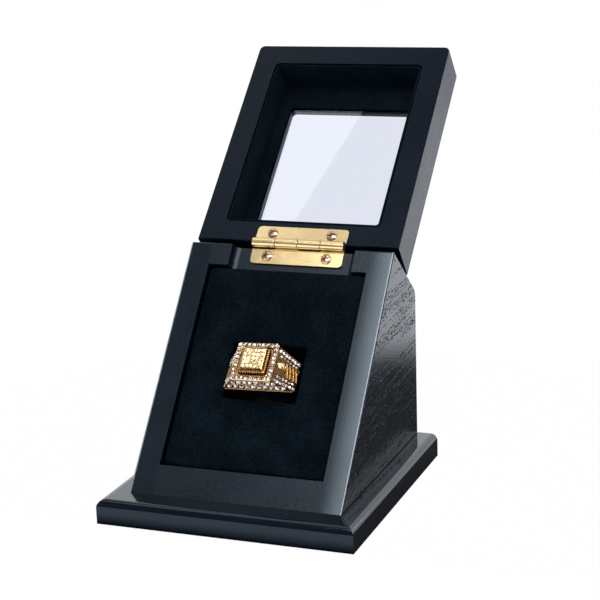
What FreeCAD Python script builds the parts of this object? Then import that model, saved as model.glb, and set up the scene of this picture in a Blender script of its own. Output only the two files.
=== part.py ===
"""Slant-front display box for a finger ring, with a hinged lid that has a glass window.

Millimetres and degrees.  +X is the right-hand side seen from the front, +Y the back, +Z up.
The origin is the centre of the base's underside.  The lid is modelled standing open.

Three working frames are used besides the row frame:
  face frame  x, y up the sloping front from its bottom edge, z out of the front
  lid frame   x, y along the lid from its hinge end, z out of the lid's inner face
  ring frame  x, y along the finger axis, z out through the ring's head
"""

import FreeCAD
import Part

import math
import os

# Base board
BASE_THICKNESS = 8.2
BASE_SIDE_OVERHANG = 7.3
BASE_FRONT_OVERHANG = 10.2
BASE_BACK_OVERHANG = 0.9
BASE_EDGE_RADIUS = 2.6
BASE_BACK_EDGE_RADIUS = 0.6

# Box body
BODY_WIDTH = 75.0
BODY_DEPTH = 82.9
WALL = 8.4
FACE_SLOPE = 50.7
FACE_LENGTH = 93.6
BOTTOM_RAIL = 10.5
HINGE_RAIL = 8.3
HINGE_RAIL_DEPTH = 14.0
BACK_THICKNESS = 6.0
BACK_CORNER_RADIUS = 4.6
BODY_EDGE_RADIUS = 0.6

# Hinge notch across the hinge rail
NOTCH_LEFT = -21.9
NOTCH_RIGHT = 23.6
NOTCH_COVE = 2.2

# Velvet pad and the board behind it
PAD_SINK = 1.0
PAD_THICKNESS = 23.0
PAD_GAP = 0.3
SUPPORT_THICKNESS = 3.0
SLOT_HALF_WIDTH = 13.2
SLOT_BOTTOM = 36.7
SLOT_TOP = 56.8

# Hinge
HINGE_LENGTH = 33.8
HINGE_CENTRE_X = 1.8
KNUCKLES = 4
KNUCKLE_RADIUS = 1.75
KNUCKLE_GAP = 0.12
PIN_RADIUS = 0.9
PIN_CLEARANCE = 0.05
PIN_BEYOND_EDGE = 1.75
PIN_BELOW_FACE = 1.70
LEAF_BACK = 1.80
LEAF_THICKNESS = 0.9
LEAF_REACH = 7.6
LEAF_RELIEF = 0.25
LEAF_CORNER = 1.5

# Hinge screws
SCREW_SPACING = 21.9
SCREW_FROM_PIN = 4.75
SCREW_HEAD_RADIUS = 1.83
SCREW_HEAD_HEIGHT = 0.85
SCREW_SHANK_RADIUS = 0.8
SCREW_LENGTH = 6.5
SCREW_CLEARANCE = 0.05

# Base screws
BASE_SCREW_HEAD_RADIUS = 3.2
BASE_SCREW_SHANK_RADIUS = 1.6
BASE_SCREW_LENGTH = 22.0
BASE_SCREW_SINK = 0.5
BASE_SCREW_Y = (-12.0, 32.0)

# Lid
LID_LENGTH = 90.0
LID_THICKNESS = 16.1
LID_LEAN_BACK = 8.0
LID_STOP_GAP = 0.15
LID_STILE = 8.5
LID_HINGE_RAIL = 8.2
LID_TOP_RAIL = 8.6
LID_CORNER_RADIUS = 2.0
LID_OUTER_EDGE_RADIUS = 1.6
LID_INNER_EDGE_RADIUS = 0.5
CAVITY_CORNER_RADIUS = 2.0
LINER_GROOVE = 0.35
LINER_THICKNESS = 0.85
LINER_SINK = 0.2
CAVITY_DEPTH = 12.1
MAT_THICKNESS = 0.8
GLASS_THICKNESS = 0.9
WINDOW_HALF_WIDTH = 23.8
WINDOW_BOTTOM = 16.9
WINDOW_TOP = 69.8
WINDOW_CORNER_RADIUS = 2.0
PANEL_LIP = 0.5

# Ring
RING_LEAN = 9.5
RING_TURN = 2.0
RING_CENTRE_ALONG_FACE = 43.2
RING_CENTRE_DEPTH = 11.3
FINGER_RADIUS = 10.0
BAND_RADIUS = 11.9
SHOULDER_HALF_WIDTH = 12.6
SHOULDER_HEIGHT = 10.6
NECK_HALF_WIDTH = 7.0
NECK_HEIGHT = 19.0
BAND_WIDTH_AT_NECK = 13.4
BAND_WIDTH_AT_SHOULDER = 10.6
SHANK_WIDTH = 6.8
SHANK_WIDTH_AT_BOTTOM = 5.6
GALLERY_UNDERCUT = 0.7
PLATE_WIDTH = 14.8
PLATE_THICKNESS = 1.4
PLATE_CORNER = 1.1
CROWN_STEPS = ((9.2, 0.6), (8.2, 1.7))
HALO_PER_SIDE = 8
CENTRE_COLUMNS = 5
CENTRE_ROWS = 5
GALLERY_PER_ROW = 8

BODY_FRONT_Y = -(BODY_DEPTH + BASE_BACK_OVERHANG - BASE_FRONT_OVERHANG) / 2
BODY_BACK_Y = BODY_FRONT_Y + BODY_DEPTH
HALF_WIDTH = BODY_WIDTH / 2
INNER_HALF_WIDTH = HALF_WIDTH - WALL
PAD_OPENING_TOP = FACE_LENGTH - HINGE_RAIL
NOTCH_DEPTH = PIN_BELOW_FACE + LEAF_BACK
X_AXIS = FreeCAD.Vector(1, 0, 0)


def vec(x, y, z):
    return FreeCAD.Vector(x, y, z)


def tilted(origin, degrees):
    """A frame at origin, turned about +X."""
    return FreeCAD.Placement(origin, FreeCAD.Rotation(X_AXIS, degrees))


FACE_FRAME = tilted(vec(0, BODY_FRONT_Y, BASE_THICKNESS), FACE_SLOPE)
PIN_ON_FACE = vec(HINGE_CENTRE_X, FACE_LENGTH + PIN_BEYOND_EDGE, -PIN_BELOW_FACE)
PIN_IN_LID = vec(HINGE_CENTRE_X, -PIN_BEYOND_EDGE, LEAF_BACK)
LID_SLOPE = FACE_SLOPE - LID_LEAN_BACK


def lid_frame():
    """The lid's frame when open: the pin sits at the same place in both frames."""
    pin = FACE_FRAME.multVec(PIN_ON_FACE)
    turn = FreeCAD.Rotation(X_AXIS, LID_SLOPE)
    return FreeCAD.Placement(pin - turn.multVec(PIN_IN_LID), turn)


def ring_frame():
    """The ring leans up the slope a little and is turned slightly in its slot."""
    centre = FACE_FRAME.multVec(vec(0, RING_CENTRE_ALONG_FACE, -RING_CENTRE_DEPTH))
    turn = FreeCAD.Rotation(vec(0, 0, 1), RING_TURN)
    lean = FreeCAD.Rotation(X_AXIS, FACE_SLOPE - RING_LEAN)
    return FreeCAD.Placement(centre, lean.multiply(turn))


LID_FRAME = lid_frame()
RING_FRAME = ring_frame()


def placed(shape, frame):
    """A copy of shape moved from a working frame into the row frame."""
    return shape.transformed(frame.toMatrix(), True)


def box(x0, x1, y0, y1, z0, z1):
    return Part.makeBox(x1 - x0, y1 - y0, z1 - z0, vec(x0, y0, z0))


def side_prism(points, x0, x1):
    """A prism along X from a closed outline of (y, z) points."""
    corners = [vec(x0, y, z) for y, z in points]
    wire = Part.makePolygon(corners + corners[:1])
    return Part.Face(wire).extrude(vec(x1 - x0, 0, 0))


def plan_prism(points, z0, z1):
    """A prism along Z from a closed outline of (x, y) points."""
    corners = [vec(x, y, z0) for x, y in points]
    wire = Part.makePolygon(corners + corners[:1])
    return Part.Face(wire).extrude(vec(0, 0, z1 - z0))


def edges_where(shape, test):
    """The edges whose every end and middle point pass the test."""
    chosen = []
    for edge in shape.Edges:
        middle = edge.valueAt((edge.FirstParameter + edge.LastParameter) / 2)
        points = [vertex.Point for vertex in edge.Vertexes] + [middle]
        if all(test(point) for point in points):
            chosen.append(edge)
    return chosen


def near(a, b):
    return abs(a - b) < 1e-4


def rounded_slab(x0, x1, y0, y1, z0, z1, radius):
    """A slab with its four corners rounded in plan."""
    slab = box(x0, x1, y0, y1, z0, z1)

    def is_upright(point):
        return (near(point.x, x0) or near(point.x, x1)) and (near(point.y, y0) or near(point.y, y1))

    return slab.makeFillet(radius, edges_where(slab, is_upright))


def face_point(along, out):
    """(y, z) in the row frame of a point up the sloping face and out of it."""
    point = FACE_FRAME.multVec(vec(0, along, out))
    return (point.y, point.z)


def bevel_height(along, y):
    """Height at y of the line that runs back from the face, at right angles to it."""
    start_y, start_z = face_point(along, 0)
    return start_z - (y - start_y) / math.tan(math.radians(FACE_SLOPE))


# Screws ------------------------------------------------------------------------------------------


def pan_head_screw():
    """A cross-recessed pan-head screw: head above z = 0, shank below."""
    rim = SCREW_HEAD_HEIGHT * 0.4
    middle = SCREW_HEAD_RADIUS * 0.72
    outline = [
        Part.LineSegment(vec(0, 0, -SCREW_LENGTH), vec(SCREW_SHANK_RADIUS, 0, -SCREW_LENGTH + 1.6)),
        Part.LineSegment(vec(SCREW_SHANK_RADIUS, 0, -SCREW_LENGTH + 1.6), vec(SCREW_SHANK_RADIUS, 0, 0)),
        Part.LineSegment(vec(SCREW_SHANK_RADIUS, 0, 0), vec(SCREW_HEAD_RADIUS, 0, 0)),
        Part.LineSegment(vec(SCREW_HEAD_RADIUS, 0, 0), vec(SCREW_HEAD_RADIUS, 0, rim)),
        Part.Arc(
            vec(SCREW_HEAD_RADIUS, 0, rim),
            vec(middle, 0, SCREW_HEAD_HEIGHT * 0.83),
            vec(0, 0, SCREW_HEAD_HEIGHT),
        ),
        Part.LineSegment(vec(0, 0, SCREW_HEAD_HEIGHT), vec(0, 0, -SCREW_LENGTH)),
    ]
    wire = Part.Wire([segment.toShape() for segment in outline])
    screw = Part.Face(wire).revolve(vec(0, 0, 0), vec(0, 0, 1), 360)
    long_half = SCREW_HEAD_RADIUS * 0.62
    short_half = SCREW_HEAD_RADIUS * 0.13
    floor = SCREW_HEAD_HEIGHT * 0.35
    for half_x, half_y in ((long_half, short_half), (short_half, long_half)):
        screw = screw.cut(box(-half_x, half_x, -half_y, half_y, floor, SCREW_HEAD_HEIGHT * 2))
    return screw


def pilot_hole():
    """Room in the wood for one hinge screw, from z = 0 down."""
    radius = SCREW_SHANK_RADIUS + SCREW_CLEARANCE
    depth = SCREW_LENGTH + 0.2
    return Part.makeCylinder(radius, depth + 1.0, vec(0, 0, -depth))


def hinge_screw_spots(pin, away):
    """The screw positions on a leaf that runs from the pin in the away direction (+1 or -1)."""
    top = pin.z - LEAF_BACK + LEAF_THICKNESS
    y = pin.y + away * SCREW_FROM_PIN
    return [vec(pin.x + side * SCREW_SPACING / 2, y, top) for side in (-1, 1)]


FACE_SCREWS = hinge_screw_spots(PIN_ON_FACE, -1)
LID_SCREWS = hinge_screw_spots(PIN_IN_LID, 1)


def turned_copies(shape, spots, turns):
    """Copies of shape at the spots, each turned about its own Z."""
    copies = []
    for spot, degrees in zip(spots, turns):
        copy = shape.copy()
        copy.rotate(vec(0, 0, 0), vec(0, 0, 1), degrees)
        copy.translate(spot)
        copies.append(copy)
    return Part.makeCompound(copies)


def base_screw():
    """A countersunk wood screw pointing up, its head at z = 0."""
    head = Part.makeCone(
        BASE_SCREW_HEAD_RADIUS,
        BASE_SCREW_SHANK_RADIUS,
        BASE_SCREW_HEAD_RADIUS - BASE_SCREW_SHANK_RADIUS,
    )
    point = 3.0
    shank = Part.makeCylinder(BASE_SCREW_SHANK_RADIUS, BASE_SCREW_LENGTH - point)
    tip = Part.makeCone(BASE_SCREW_SHANK_RADIUS, 0.2, point, vec(0, 0, BASE_SCREW_LENGTH - point))
    screw = head.fuse(shank).fuse(tip).removeSplitter()
    half = BASE_SCREW_HEAD_RADIUS * 0.55
    narrow = BASE_SCREW_HEAD_RADIUS * 0.13
    for half_x, half_y in ((half, narrow), (narrow, half)):
        screw = screw.cut(box(-half_x, half_x, -half_y, half_y, -1, 1.0))
    return screw


def base_screw_room():
    """The countersunk hole for one base screw, from the base's underside up."""
    radius = BASE_SCREW_HEAD_RADIUS + SCREW_CLEARANCE
    shank = BASE_SCREW_SHANK_RADIUS + SCREW_CLEARANCE
    mouth = Part.makeCylinder(radius, BASE_SCREW_SINK + 1.0, vec(0, 0, -1.0))
    cone = Part.makeCone(radius, shank, radius - shank, vec(0, 0, BASE_SCREW_SINK))
    hole = Part.makeCylinder(shank, BASE_SCREW_LENGTH + 1.0)
    return mouth.fuse(cone).fuse(hole)


def base_screw_spots():
    x = HALF_WIDTH - WALL / 2
    return [vec(side * x, y, 0) for side in (-1, 1) for y in BASE_SCREW_Y]


def without(shape, tool, spots):
    """The shape with one copy of the tool cut out at each spot."""
    for spot in spots:
        cutter = tool.copy()
        cutter.translate(spot)
        shape = shape.cut(cutter)
    return shape


# Box ---------------------------------------------------------------------------------------------


def base_board():
    half = HALF_WIDTH + BASE_SIDE_OVERHANG
    front = BODY_FRONT_Y - BASE_FRONT_OVERHANG
    back = BODY_BACK_Y + BASE_BACK_OVERHANG
    board = box(-half, half, front, back, 0, BASE_THICKNESS)

    def is_front_or_side(point):
        rim = near(point.y, front) or near(abs(point.x), half)
        return near(point.z, BASE_THICKNESS) and rim

    def is_back(point):
        return near(point.z, BASE_THICKNESS) and near(point.y, back)

    board = board.makeFillet(BASE_EDGE_RADIUS, edges_where(board, is_front_or_side))
    board = board.makeFillet(BASE_BACK_EDGE_RADIUS, edges_where(board, is_back))
    return without(board, base_screw_room(), base_screw_spots())


def base_screws():
    spots = [spot + vec(0, 0, BASE_SCREW_SINK) for spot in base_screw_spots()]
    return turned_copies(base_screw(), spots, (15, 50, 70, 35))


def side_panel(side):
    """One side of the box: a board cut to the slanted outline, screwed to the base from below."""
    outline = [
        face_point(0, 0),
        face_point(FACE_LENGTH, 0),
        (BODY_BACK_Y, bevel_height(FACE_LENGTH, BODY_BACK_Y)),
        (BODY_BACK_Y, BASE_THICKNESS),
    ]
    outer = side * HALF_WIDTH
    panel = side_prism(outline, side * INNER_HALF_WIDTH, outer)
    top_y, top_z = outline[1]
    corner_y, corner_z = outline[2]

    def is_back_corner(point):
        return near(point.y, corner_y) and near(point.z, corner_z)

    def is_top_edge(point):
        return near(point.y, top_y) and near(point.z, top_z)

    panel = panel.makeFillet(BACK_CORNER_RADIUS, edges_where(panel, is_back_corner))
    panel = panel.makeFillet(BODY_EDGE_RADIUS, edges_where(panel, is_top_edge))
    panel = panel.makeFillet(BODY_EDGE_RADIUS, edges_where(panel, lambda point: near(point.x, outer)))
    return without(panel, base_screw_room(), base_screw_spots())


def front_bottom_rail():
    """The wedge-shaped rail below the pad, glued to the base."""
    back_y = face_point(BOTTOM_RAIL, 0)[0] + (
        BOTTOM_RAIL * math.sin(math.radians(FACE_SLOPE)) * math.tan(math.radians(FACE_SLOPE))
    )
    outline = [face_point(0, 0), face_point(BOTTOM_RAIL, 0), (back_y, BASE_THICKNESS)]
    return side_prism(outline, -INNER_HALF_WIDTH, INNER_HALF_WIDTH)


def hinge_rail():
    """The rail above the pad, with a shallow notch right across it for the hinge."""
    rail = box(-INNER_HALF_WIDTH, INNER_HALF_WIDTH, PAD_OPENING_TOP, FACE_LENGTH, -HINGE_RAIL_DEPTH, 0)

    def is_top_edge(point):
        return near(point.y, FACE_LENGTH) and near(point.z, 0)

    rail = rail.makeFillet(BODY_EDGE_RADIUS, edges_where(rail, is_top_edge))
    notch = box(NOTCH_LEFT, NOTCH_RIGHT, PAD_OPENING_TOP - 1, FACE_LENGTH + 1, -NOTCH_DEPTH, 5)

    def is_notch_floor_end(point):
        at_end = near(point.x, NOTCH_LEFT) or near(point.x, NOTCH_RIGHT)
        return at_end and near(point.z, -NOTCH_DEPTH)

    notch = notch.makeFillet(NOTCH_COVE, edges_where(notch, is_notch_floor_end))
    rail = rail.cut(notch)
    return placed(without(rail, pilot_hole(), FACE_SCREWS), FACE_FRAME)


def top_panel():
    """The short sloping top behind the hinge rail, with a rounded back corner."""
    corner = (BODY_BACK_Y, bevel_height(FACE_LENGTH, BODY_BACK_Y))
    outline = [
        face_point(FACE_LENGTH, -HINGE_RAIL_DEPTH),
        corner,
        (BODY_BACK_Y, bevel_height(PAD_OPENING_TOP, BODY_BACK_Y)),
        face_point(PAD_OPENING_TOP, -HINGE_RAIL_DEPTH),
    ]
    panel = side_prism(outline, -INNER_HALF_WIDTH, INNER_HALF_WIDTH)

    def is_back_corner(point):
        return near(point.y, corner[0]) and near(point.z, corner[1])

    return panel.makeFillet(BACK_CORNER_RADIUS, edges_where(panel, is_back_corner))


def back_panel():
    inner_y = BODY_BACK_Y - BACK_THICKNESS
    outline = [
        (BODY_BACK_Y, BASE_THICKNESS),
        (BODY_BACK_Y, bevel_height(PAD_OPENING_TOP, BODY_BACK_Y)),
        (inner_y, bevel_height(PAD_OPENING_TOP, inner_y)),
        (inner_y, BASE_THICKNESS),
    ]
    return side_prism(outline, -INNER_HALF_WIDTH, INNER_HALF_WIDTH)


def base_line(depth):
    """How far up the face the base's top is, at a depth behind the face."""
    return depth / math.tan(math.radians(FACE_SLOPE))


def pad_support_board():
    """The board that the pad is glued to, between the sides."""
    front = PAD_SINK + PAD_THICKNESS
    back = front + SUPPORT_THICKNESS
    board = box(
        -INNER_HALF_WIDTH, INNER_HALF_WIDTH, base_line(back), PAD_OPENING_TOP, -back, -front
    )
    return placed(board, FACE_FRAME)


def velvet_pad():
    """The foam pad with its ring slot, and its lower back edge cut to clear the base."""
    bottom = BOTTOM_RAIL + PAD_GAP
    top = PAD_OPENING_TOP - PAD_GAP
    back = PAD_SINK + PAD_THICKNESS - PAD_GAP / 3
    clear = PAD_GAP
    slope = math.tan(math.radians(FACE_SLOPE))
    outline = [
        (bottom, -PAD_SINK),
        (top, -PAD_SINK),
        (top, -back),
        (base_line(back) + clear, -back),
        (bottom, -(bottom - clear) * slope),
    ]
    half = INNER_HALF_WIDTH - PAD_GAP
    pad = side_prism(outline, -half, half)
    slot = box(-SLOT_HALF_WIDTH, SLOT_HALF_WIDTH, SLOT_BOTTOM, SLOT_TOP, -back - 1, 1)
    return placed(pad.cut(slot), FACE_FRAME)


# Hinge -------------------------------------------------------------------------------------------


def knuckle_spans(own):
    """(start, end) along X of the knuckles whose index parity is own."""
    pitch = HINGE_LENGTH / KNUCKLES
    start = HINGE_CENTRE_X - HINGE_LENGTH / 2
    return [
        (start + i * pitch + KNUCKLE_GAP / 2, start + (i + 1) * pitch - KNUCKLE_GAP / 2)
        for i in range(KNUCKLES)
        if i % 2 == own
    ]


def hinge_leaf(pin, away, own, screws):
    """One hinge leaf: a plate from the pin outwards, with its knuckles and screw holes."""
    back = pin.z - LEAF_BACK
    front = back + LEAF_THICKNESS
    far = pin.y + away * LEAF_REACH
    half = HINGE_LENGTH / 2
    plate = box(pin.x - half, pin.x + half, min(pin.y, far), max(pin.y, far), back, front)

    def is_outer_corner(point):
        return near(point.y, far) and near(abs(point.x - pin.x), half)

    plate = plate.makeFillet(LEAF_CORNER, edges_where(plate, is_outer_corner))
    relief = KNUCKLE_RADIUS + LEAF_RELIEF
    for start, end in knuckle_spans(1 - own):
        gap = box(start - KNUCKLE_GAP, end + KNUCKLE_GAP, pin.y - relief, pin.y + relief, back - 1, front + 1)
        plate = plate.cut(gap)
    for start, end in knuckle_spans(own):
        barrel = Part.makeCylinder(KNUCKLE_RADIUS, end - start, vec(start, pin.y, pin.z), X_AXIS)
        plate = plate.fuse(barrel)
    bore = Part.makeCylinder(
        PIN_RADIUS + PIN_CLEARANCE, HINGE_LENGTH + 2, vec(pin.x - half - 1, pin.y, pin.z), X_AXIS
    )
    plate = plate.cut(bore)
    return without(plate, pilot_hole(), screws)


def body_hinge_leaf():
    return placed(hinge_leaf(PIN_ON_FACE, -1, 1, FACE_SCREWS), FACE_FRAME)


def lid_hinge_leaf():
    return placed(hinge_leaf(PIN_IN_LID, 1, 0, LID_SCREWS), LID_FRAME)


def hinge_pin():
    start = vec(HINGE_CENTRE_X - HINGE_LENGTH / 2, PIN_ON_FACE.y, PIN_ON_FACE.z)
    pin = Part.makeCylinder(PIN_RADIUS, HINGE_LENGTH, start, X_AXIS)
    pin = pin.makeFillet(0.25, [edge for edge in pin.Edges if isinstance(edge.Curve, Part.Circle)])
    return placed(pin, FACE_FRAME)


def body_leaf_screws():
    return placed(turned_copies(pan_head_screw(), FACE_SCREWS, (20, 10)), FACE_FRAME)


def lid_leaf_screws():
    return placed(turned_copies(pan_head_screw(), LID_SCREWS, (35, 15)), LID_FRAME)


# Lid ---------------------------------------------------------------------------------------------


def end_reach():
    """How much further the lid's outer edge reaches than its inner edge at the hinge end.

    The end is cut slightly out of square, so that the rounded outer edge lands on the box's
    sloping top when the lid is open, and holds it there.
    """
    lean = math.radians(LID_LEAN_BACK)
    depth = LEAF_BACK + LID_THICKNESS - LID_OUTER_EDGE_RADIUS
    lowest = (
        PIN_BEYOND_EDGE
        + (PIN_BEYOND_EDGE + LID_OUTER_EDGE_RADIUS) * math.cos(lean)
        - depth * math.sin(lean)
        - LID_OUTER_EDGE_RADIUS
    )
    return (lowest - LID_STOP_GAP) / math.cos(lean)


def lid_block():
    """The lid's outer form as one solid, before it is cut into its frame pieces."""
    reach = end_reach()
    outline = [(0, 0), (LID_LENGTH, 0), (LID_LENGTH, -LID_THICKNESS), (-reach, -LID_THICKNESS)]
    block = side_prism(outline, -HALF_WIDTH, HALF_WIDTH)

    def is_far_corner(point):
        return near(abs(point.x), HALF_WIDTH) and near(point.y, LID_LENGTH)

    block = block.makeFillet(LID_CORNER_RADIUS, edges_where(block, is_far_corner))
    outer = edges_where(block, lambda point: near(point.z, -LID_THICKNESS))
    block = block.makeFillet(LID_OUTER_EDGE_RADIUS, outer)
    inner = edges_where(block, lambda point: near(point.z, 0))
    return block.makeFillet(LID_INNER_EDGE_RADIUS, inner)


def cavity(inset, z0, z1):
    """The lid's hollow as a solid, drawn in by inset on every side."""
    return rounded_slab(
        -HALF_WIDTH + LID_STILE + inset,
        HALF_WIDTH - LID_STILE - inset,
        LID_HINGE_RAIL + inset,
        LID_LENGTH - LID_TOP_RAIL - inset,
        z0,
        z1,
        CAVITY_CORNER_RADIUS - inset / 2,
    )


def window(z0, z1, lip=0.0):
    """The window as a solid, drawn in by lip on every side."""
    half = WINDOW_HALF_WIDTH - lip
    return rounded_slab(
        -half, half, WINDOW_BOTTOM + lip, WINDOW_TOP - lip, z0, z1, WINDOW_CORNER_RADIUS - lip / 2
    )


def mitre_wedges():
    """Four wedges that cut a rectangular frame along its mitres, by name."""
    outer = {"left": -HALF_WIDTH, "right": HALF_WIDTH, "hinge": 0, "top": LID_LENGTH}
    inner = {
        "left": -HALF_WIDTH + LID_STILE,
        "right": HALF_WIDTH - LID_STILE,
        "hinge": LID_HINGE_RAIL,
        "top": LID_LENGTH - LID_TOP_RAIL,
    }

    def along_mitre(x_side, y_side, fraction):
        x = outer[x_side] + (inner[x_side] - outer[x_side]) * fraction
        y = outer[y_side] + (inner[y_side] - outer[y_side]) * fraction
        return (x, y)

    ends = {
        "left": (("left", "hinge"), ("left", "top")),
        "right": (("right", "top"), ("right", "hinge")),
        "hinge": (("right", "hinge"), ("left", "hinge")),
        "top": (("left", "top"), ("right", "top")),
    }
    wedges = {}
    for name, (first, second) in ends.items():
        outline = [
            along_mitre(*first, -0.6),
            along_mitre(*first, 1.6),
            along_mitre(*second, 1.6),
            along_mitre(*second, -0.6),
        ]
        wedges[name] = plan_prism(outline, -LID_THICKNESS - 1, 1)
    return wedges


def lid_frame_pieces():
    """The four mitred frame pieces of the lid."""
    block = lid_block().cut(cavity(0, -LID_THICKNESS - 1, 1))
    pieces = {side: block.common(wedge) for side, wedge in mitre_wedges().items()}
    pieces["hinge"] = without(pieces["hinge"], pilot_hole(), LID_SCREWS)
    names = {
        "left": "lid_left_stile",
        "right": "lid_right_stile",
        "hinge": "lid_hinge_rail",
        "top": "lid_top_rail",
    }
    return {names[side]: placed(piece, LID_FRAME) for side, piece in pieces.items()}


def lid_liner_pieces():
    """Thin velvet-covered strips that line the lid's hollow."""
    ring = cavity(LINER_GROOVE, -CAVITY_DEPTH, -LINER_SINK)
    ring = ring.cut(cavity(LINER_GROOVE + LINER_THICKNESS, -CAVITY_DEPTH - 1, 1))
    return {
        "lid_liner_" + side: placed(ring.common(wedge), LID_FRAME)
        for side, wedge in mitre_wedges().items()
    }


MAT_BACK = -CAVITY_DEPTH - MAT_THICKNESS
GLASS_BACK = MAT_BACK - GLASS_THICKNESS


def lid_liner_mat():
    """The liner's floor: a frame around the window, in front of the glass."""
    mat = cavity(0.05, MAT_BACK, -CAVITY_DEPTH).cut(window(MAT_BACK - 1, 0))
    return placed(mat, LID_FRAME)


def window_glass():
    return placed(cavity(0.2, GLASS_BACK, MAT_BACK), LID_FRAME)


def lid_window_panel():
    """The lid's outer panel, glued into the frame, with the window opening."""
    panel = cavity(0, -LID_THICKNESS, GLASS_BACK).cut(window(-LID_THICKNESS - 1, 0, PANEL_LIP))
    return placed(panel, LID_FRAME)


# Ring --------------------------------------------------------------------------------------------


def ring_band():
    """The band: wide shoulders that taper down from the neck, over a narrower shank."""
    neck = vec(NECK_HALF_WIDTH, 0, NECK_HEIGHT)
    shoulder = vec(SHOULDER_HALF_WIDTH, 0, SHOULDER_HEIGHT)
    waist = vec(BAND_RADIUS, 0, 0)

    def mirrored(point):
        return vec(-point.x, point.y, point.z)

    outline = [
        Part.LineSegment(mirrored(neck), neck),
        Part.LineSegment(neck, shoulder),
        Part.LineSegment(shoulder, waist),
        Part.Arc(waist, vec(0, 0, -BAND_RADIUS), mirrored(waist)),
        Part.LineSegment(mirrored(waist), mirrored(shoulder)),
        Part.LineSegment(mirrored(shoulder), mirrored(neck)),
    ]
    wire = Part.Wire([segment.toShape() for segment in outline])
    wire.translate(vec(0, -BAND_WIDTH_AT_NECK, 0))
    solid = Part.Face(wire).extrude(vec(0, 2 * BAND_WIDTH_AT_NECK, 0))
    half_outline = [
        (BAND_WIDTH_AT_NECK / 2, NECK_HEIGHT),
        (BAND_WIDTH_AT_SHOULDER / 2, SHOULDER_HEIGHT),
        (SHANK_WIDTH / 2, SHOULDER_HEIGHT - GALLERY_UNDERCUT),
        (SHANK_WIDTH_AT_BOTTOM / 2, -BAND_RADIUS - 1),
    ]
    taper = half_outline + [(-y, z) for y, z in reversed(half_outline)]
    solid = solid.common(side_prism(taper, -BODY_WIDTH, BODY_WIDTH))
    finger = Part.makeCylinder(FINGER_RADIUS, 40, vec(0, -20, 0), vec(0, 1, 0))
    return placed(solid.cut(finger), RING_FRAME)


def square_block(width, z0, z1):
    return box(-width / 2, width / 2, -width / 2, width / 2, z0, z1)


def ring_head():
    """The square head plate on the neck, with rounded corners."""
    half = PLATE_WIDTH / 2
    top = NECK_HEIGHT + PLATE_THICKNESS
    return placed(rounded_slab(-half, half, -half, half, NECK_HEIGHT, top, PLATE_CORNER), RING_FRAME)


def crown_top():
    return NECK_HEIGHT + PLATE_THICKNESS + sum(height for _, height in CROWN_STEPS)


def ring_crown():
    """The stepped square block on the head plate."""
    z = NECK_HEIGHT + PLATE_THICKNESS
    block = None
    for width, height in CROWN_STEPS:
        step = square_block(width, z, z + height)
        block = step if block is None else block.fuse(step)
        z += height
    return placed(block.removeSplitter(), RING_FRAME)


def cut_stone(radius, height, sides, spin):
    """A faceted stone's crown: a many-sided frustum on z = 0."""

    def loop(size, z):
        corners = []
        for i in range(sides):
            angle = math.radians(spin + 360.0 * i / sides)
            corners.append(vec(size * math.cos(angle), size * math.sin(angle), z))
        return Part.makePolygon(corners + corners[:1])

    return Part.makeLoft([loop(radius, 0), loop(radius * 0.6, height)], True, True)


def set_stones(stone, seats):
    """Copies of a stone on seats of (position, outward direction), as one group."""
    group = []
    for position, outward in seats:
        turn = FreeCAD.Rotation(vec(0, 0, 1), outward)
        group.append(stone.transformed(FreeCAD.Placement(position, turn).toMatrix(), True))
    return placed(Part.makeCompound(group), RING_FRAME)


def ring_halo_stones():
    """One row of round stones around the edge of the head plate."""
    edge = PLATE_WIDTH / 2 - 0.9
    pitch = 2 * edge / HALO_PER_SIDE
    z = NECK_HEIGHT + PLATE_THICKNESS
    up = vec(0, 0, 1)
    seats = []
    for i in range(HALO_PER_SIDE):
        step = -edge + i * pitch
        for x, y in ((step, -edge), (edge, step), (-step, edge), (-edge, -step)):
            seats.append((vec(x, y, z), up))
    return set_stones(cut_stone(0.76, 0.45, 8, 22.5), seats)


def ring_centre_stones():
    """Small square stones that cover the top of the crown."""
    top = CROWN_STEPS[-1][0] - 0.4
    pitch_x = top / CENTRE_COLUMNS
    pitch_y = top / CENTRE_ROWS
    z = crown_top()
    seats = []
    for column in range(CENTRE_COLUMNS):
        for row in range(CENTRE_ROWS):
            x = (column - (CENTRE_COLUMNS - 1) / 2) * pitch_x
            y = (row - (CENTRE_ROWS - 1) / 2) * pitch_y
            seats.append((vec(x, y, z), vec(0, 0, 1)))
    return set_stones(cut_stone(pitch_x * 0.68, 0.3, 4, 45), seats)


def flank_half_width(z):
    """Half the band's width along the finger axis at a height on the ring."""
    rise = (z - SHOULDER_HEIGHT) / (NECK_HEIGHT - SHOULDER_HEIGHT)
    return (BAND_WIDTH_AT_SHOULDER + (BAND_WIDTH_AT_NECK - BAND_WIDTH_AT_SHOULDER) * rise) / 2


def ring_gallery_stones():
    """Two rows of round stones on the front and back flanks, below the head plate."""
    fall = NECK_HEIGHT - SHOULDER_HEIGHT
    spread = (BAND_WIDTH_AT_NECK - BAND_WIDTH_AT_SHOULDER) / 2
    pitch = 2 * NECK_HALF_WIDTH / GALLERY_PER_ROW
    seats = []
    for side in (-1, 1):
        outward = vec(0, side * fall, -spread)
        for below in (1.2, 3.2):
            z = NECK_HEIGHT - below
            for i in range(GALLERY_PER_ROW):
                x = (i - (GALLERY_PER_ROW - 1) / 2) * pitch
                seats.append((vec(x, side * flank_half_width(z), z), outward))
    return set_stones(cut_stone(0.72, 0.4, 8, 22.5), seats)


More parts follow.
